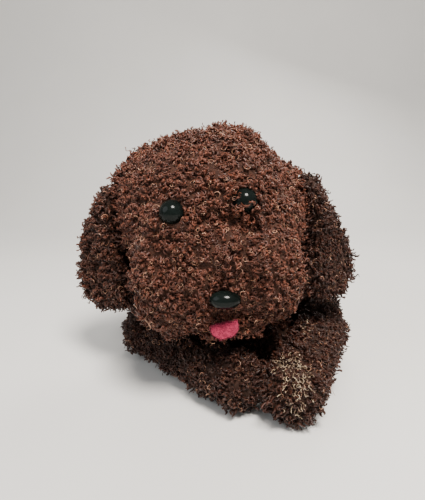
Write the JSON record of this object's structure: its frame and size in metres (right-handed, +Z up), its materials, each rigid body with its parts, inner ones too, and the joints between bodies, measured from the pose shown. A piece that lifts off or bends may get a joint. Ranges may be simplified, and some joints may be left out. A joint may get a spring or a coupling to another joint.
{
  "type": "curly plush dog",
  "caption": "Soft toy dog lying on its belly, curly pile covers over filling, with domed eyes, drooping ears, a felt tongue and a sprung head, legs and tail that move at their seams.",
  "frame": {"origin": "on the surface the toy lies on, under the chest, on the body's mid-plane", "axes": "+Z up, -Y the way the dog faces, +X the dog's own left"},
  "size_m": [0.254, 0.3097, 0.2147],
  "materials": {
    "brown_boucle": "matte",
    "dark_boucle": "matte",
    "fibre_filling": "matte",
    "black_gloss": "gloss",
    "white_plastic": "satin",
    "pink_felt": "matte"
  },
  "bodies": {
    "torso": {"body_cover": "brown_boucle", "body_filling": "fibre_filling"},
    "neck": {"neck_cover": "brown_boucle"},
    "neck_core": {"neck_filling": "fibre_filling"},
    "head": {"head_cover": "brown_boucle", "head_filling": "fibre_filling", "muzzle_cover": "brown_boucle", "muzzle_filling": "fibre_filling", "lower_lip": "brown_boucle", "left_eye": "black_gloss", "right_eye": "black_gloss", "left_eye_washer": "white_plastic", "right_eye_washer": "white_plastic", "nose": "black_gloss", "nose_washer": "white_plastic"},
    "tongue": {"tongue": "pink_felt"},
    "left_ear": {"left_ear_outer": "dark_boucle", "left_ear_inner": "dark_boucle"},
    "right_ear": {"right_ear_outer": "dark_boucle", "right_ear_inner": "dark_boucle"},
    "left_foreleg": {"left_foreleg_cover": "dark_boucle", "left_foreleg_filling": "fibre_filling"},
    "left_hind_leg": {"left_hind_leg_cover": "dark_boucle", "left_hind_leg_filling": "fibre_filling"},
    "right_foreleg": {"right_foreleg_cover": "dark_boucle", "right_foreleg_filling": "fibre_filling"},
    "right_hind_leg": {"right_hind_leg_cover": "dark_boucle", "right_hind_leg_filling": "fibre_filling"},
    "tail": {"tail_cover": "brown_boucle", "tail_filling": "fibre_filling"}
  },
  "joints": [
    {"name": "head_turn", "type": "hinge", "parent": "torso", "child": "neck", "pos_m": [-0.01097, -0.005, 0.09579], "axis": [0, 0, 1], "range_deg": [-25, 25], "stiffness_Nm_per_rad": 0.6},
    {"name": "head_tilt", "type": "hinge", "parent": "neck", "child": "neck_core", "pos_m": [-0.01097, -0.005, 0.09579], "axis": [0, 1, 0], "range_deg": [-5, 8], "stiffness_Nm_per_rad": 1.5},
    {"name": "head_nod", "type": "hinge", "parent": "neck_core", "child": "head", "pos_m": [-0.01097, -0.005, 0.09579], "axis": [1, 0, 0], "range_deg": [-20, 3], "stiffness_Nm_per_rad": 1.5},
    {"name": "tongue_lift", "type": "hinge", "parent": "head", "child": "tongue", "pos_m": [-0.00819, -0.1254, 0.08003], "axis": [0.9848, 0, 0.1736], "range_deg": [-25, 0]},
    {"name": "left_ear_lift", "type": "hinge", "parent": "head", "child": "left_ear", "pos_m": [0.0732, -0.048, 0.163], "axis": [0, 1, 0], "range_deg": [-75, 0]},
    {"name": "right_ear_lift", "type": "hinge", "parent": "head", "child": "right_ear", "pos_m": [-0.1145, -0.048, 0.153], "axis": [0, 1, 0], "range_deg": [0, 75]},
    {"name": "left_foreleg_swing", "type": "hinge", "parent": "torso", "child": "left_foreleg", "pos_m": [0.062, 0, 0.034], "axis": [0, 0, 1], "range_deg": [0, 35]},
    {"name": "right_foreleg_swing", "type": "hinge", "parent": "torso", "child": "right_foreleg", "pos_m": [-0.062, 0, 0.034], "axis": [0, 0, 1], "range_deg": [-35, 0]},
    {"name": "left_hind_leg_swing", "type": "hinge", "parent": "torso", "child": "left_hind_leg", "pos_m": [0.06, 0.095, 0.036], "axis": [0, 0, 1], "range_deg": [0, 50]},
    {"name": "right_hind_leg_swing", "type": "hinge", "parent": "torso", "child": "right_hind_leg", "pos_m": [-0.06, 0.095, 0.036], "axis": [0, 0, 1], "range_deg": [-50, 0]},
    {"name": "tail_wag", "type": "hinge", "parent": "torso", "child": "tail", "pos_m": [0, 0.132, 0.08], "axis": [0, 0.866, -0.5], "range_deg": [-25, 25], "stiffness_Nm_per_rad": 0.05}
  ]
}
